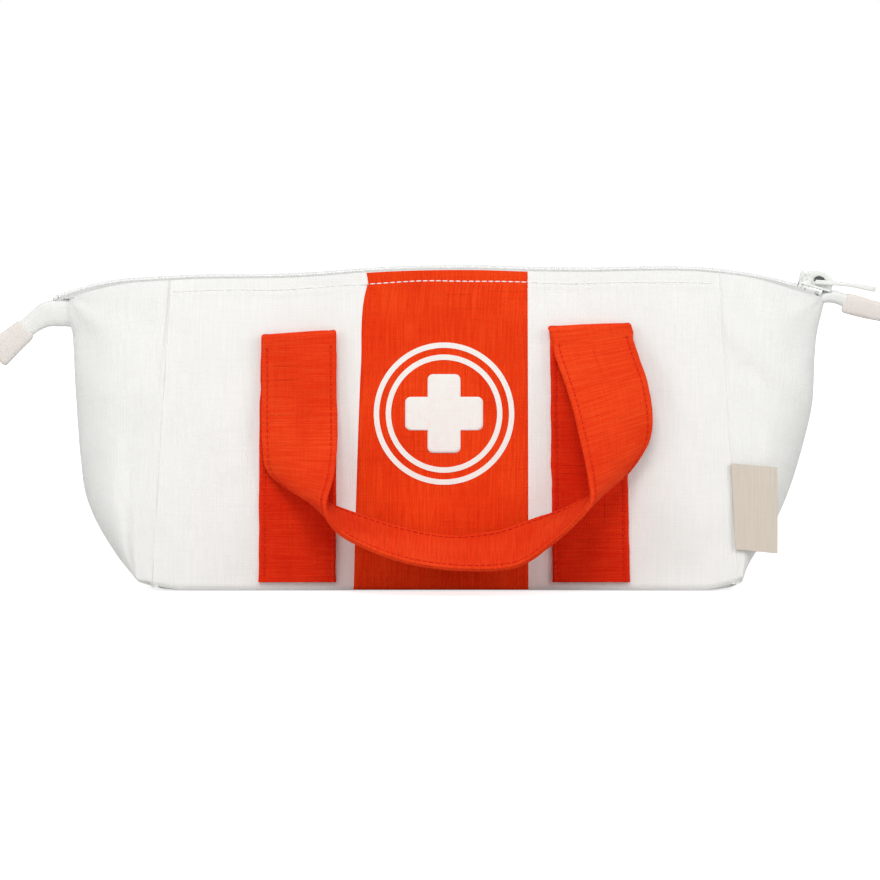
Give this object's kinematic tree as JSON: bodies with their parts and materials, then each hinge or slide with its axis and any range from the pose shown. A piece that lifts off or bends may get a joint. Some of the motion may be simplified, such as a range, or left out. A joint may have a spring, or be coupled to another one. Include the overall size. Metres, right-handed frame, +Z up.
{
  "type": "toy doctor bag",
  "caption": "Soft canvas toy doctor bag with a flat base, tapering sides, zip mouth, drawn-out zip ends, red centre band with a cross and two hanging strap handles.",
  "frame": {"origin": "centre of the underside of the base", "axes": "+X along the bag towards the closed end of the zip, -Y towards the front with the emblem, +Z up"},
  "size_m": [0.362, 0.13, 0.1269],
  "materials": {
    "white_canvas": "plain slubbed cotton canvas",
    "red_canvas": "plain slubbed cotton canvas",
    "white_print": "matt screen print",
    "zip_tape": "fine herringbone tape",
    "zip_coil": "satin nylon",
    "slider_metal": "white lacquered die casting",
    "tab_canvas": "folded cotton tape",
    "label_cloth": "woven satin label, blank"
  },
  "bodies": {
    "bag": {"base_panel": "white_canvas", "gusset_left": "white_canvas", "gusset_right": "white_canvas", "zip_tape_left": "zip_tape", "zip_tape_right": "zip_tape", "zip_coil_left": "zip_coil", "zip_coil_right": "zip_coil", "zip_stop_left": "slider_metal", "zip_stop_right": "slider_metal", "tail_tab_left": "tab_canvas", "tail_tab_right": "tab_canvas"},
    "mouth_front": {"front_panel": "white_canvas", "front_band": "red_canvas", "emblem_cross": "white_print", "emblem_ring_outer": "white_print", "emblem_ring_inner": "white_print", "strap_front_left": "red_canvas", "strap_front_right": "red_canvas", "zip_tape_front": "zip_tape", "zip_coil_front": "zip_coil"},
    "mouth_back": {"back_panel": "white_canvas", "back_band": "red_canvas", "strap_back_left": "red_canvas", "strap_back_right": "red_canvas", "zip_tape_back": "zip_tape", "zip_coil_back": "zip_coil"},
    "slider": {"slider": "slider_metal"},
    "pull": {"pull_tab": "slider_metal"},
    "handle_front": {"handle_front": "red_canvas"},
    "handle_back": {"handle_back": "red_canvas"},
    "label": {"side_label": "label_cloth"}
  },
  "joints": [
    {"name": "slider_travel", "type": "hinge", "parent": "bag", "child": "slider", "pos_m": [0, 0, -1.0255], "axis": [0, -1, 0], "range_deg": [0, 14.63]},
    {"name": "mouth_front_fold", "type": "hinge", "parent": "bag", "child": "mouth_front", "pos_m": [0, -0.03525, 0.0009], "axis": [1, 0, 0], "range_deg": [0, 13]},
    {"name": "mouth_back_fold", "type": "hinge", "parent": "bag", "child": "mouth_back", "pos_m": [0, 0.03525, 0.0009], "axis": [-1, 0, 0], "range_deg": [0, 13]},
    {"name": "pull_swing", "type": "hinge", "parent": "slider", "child": "pull", "pos_m": [0.14701, 0, 0.1199], "axis": [0, -1, 0], "range_deg": [0, 175]},
    {"name": "handle_front_swing", "type": "hinge", "parent": "mouth_front", "child": "handle_front", "pos_m": [0, -0.01689, 0.1015], "axis": [-1, 0, 0], "range_deg": [0, 155]},
    {"name": "handle_back_swing", "type": "hinge", "parent": "mouth_back", "child": "handle_back", "pos_m": [0, 0.01689, 0.1015], "axis": [1, 0, 0], "range_deg": [0, 155]},
    {"name": "label_flap", "type": "hinge", "parent": "mouth_front", "child": "label", "pos_m": [0.11338, -0.03212, 0.031], "axis": [0.0513, -0.1784, -0.9826], "range_deg": [0, 150]}
  ],
  "couplings": [
    {"joint": "mouth_front_fold", "follows": "slider_travel", "ratio": 0.8887},
    {"joint": "mouth_back_fold", "follows": "slider_travel", "ratio": 0.8887}
  ]
}
